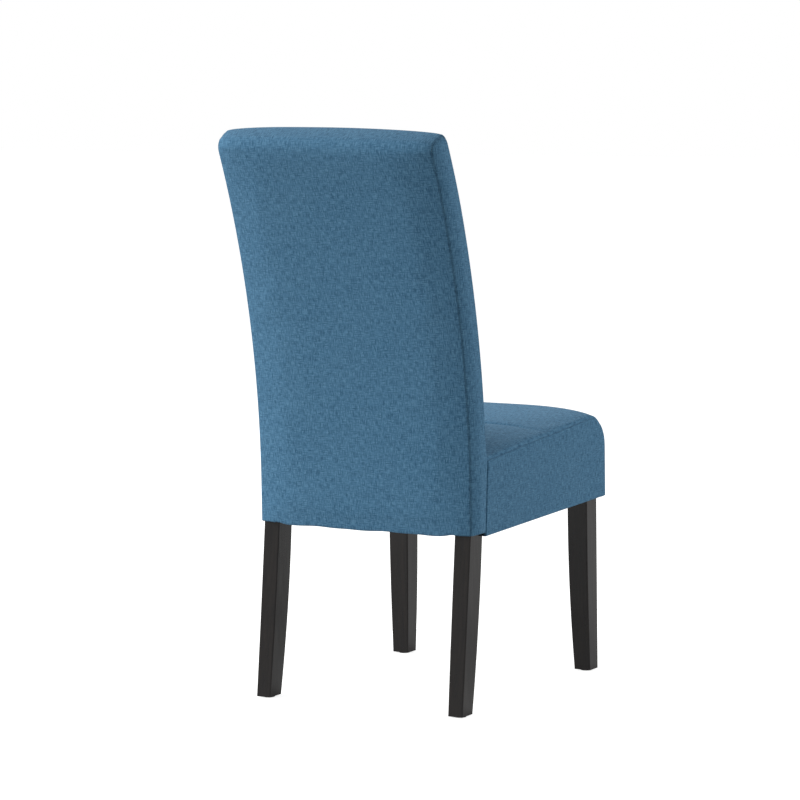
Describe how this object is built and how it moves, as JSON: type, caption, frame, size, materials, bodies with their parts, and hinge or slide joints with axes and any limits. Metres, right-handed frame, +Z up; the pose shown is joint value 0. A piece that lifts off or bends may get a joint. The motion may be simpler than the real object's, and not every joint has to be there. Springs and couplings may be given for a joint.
{
  "type": "dining chair",
  "caption": "armless upholstered dining chair with a tall curved back, padded box seat in heathered blue cloth and black lacquered square tapered legs",
  "frame": {"origin": "on the floor, under the middle of the chair's bounding box", "axes": "+Z up, -Y to the front of the seat, +X to the sitter's left"},
  "size_m": [0.46, 0.6535, 1.0609],
  "materials": {
    "fabric_blue": "heathered plain weave, matt",
    "black_lacquer": "near-black lacquer, satin",
    "raw_wood": "sawn, unfinished",
    "foam": "open-cell foam, matt",
    "wadding": "loose white fibre, matt",
    "strap_webbing": "woven elastic, matt",
    "dust_cloth": "thin non-woven, matt",
    "zinc_steel": "zinc plated, dull",
    "glide_plastic": "moulded, matt"
  },
  "bodies": {
    "root": {"back_main_cover": "fabric_blue", "back_side_cover_left": "fabric_blue", "back_side_cover_right": "fabric_blue", "back_bottom_cover": "fabric_blue", "seat_top_cover": "fabric_blue", "seat_side_cover_left": "fabric_blue", "seat_side_cover_right": "fabric_blue", "rear_post_left": "black_lacquer", "rear_post_right": "black_lacquer", "front_leg_left": "black_lacquer", "front_leg_right": "black_lacquer", "back_bottom_rail": "raw_wood", "back_lower_rail": "raw_wood", "back_middle_rail": "raw_wood", "back_top_rail": "raw_wood", "back_rail_dowels": "raw_wood", "back_board": "raw_wood", "seat_front_rail": "raw_wood", "seat_rear_rail": "raw_wood", "seat_left_rail": "raw_wood", "seat_right_rail": "raw_wood", "seat_rail_dowels": "raw_wood", "corner_block_left": "raw_wood", "corner_block_right": "raw_wood", "back_foam": "foam", "seat_foam": "foam", "back_rear_wadding": "wadding", "back_side_wadding": "wadding", "seat_side_wadding": "wadding", "back_straps": "strap_webbing", "seat_long_straps": "strap_webbing", "seat_cross_straps": "strap_webbing", "dust_cover": "dust_cloth", "corner_block_screws": "zinc_steel", "hanger_bolts": "zinc_steel", "hanger_washers": "zinc_steel", "hanger_nuts": "zinc_steel", "seat_bolts": "zinc_steel", "seat_bolt_washers": "zinc_steel", "barrel_nuts": "zinc_steel", "foot_glides": "glide_plastic"}
  },
  "joints": []
}
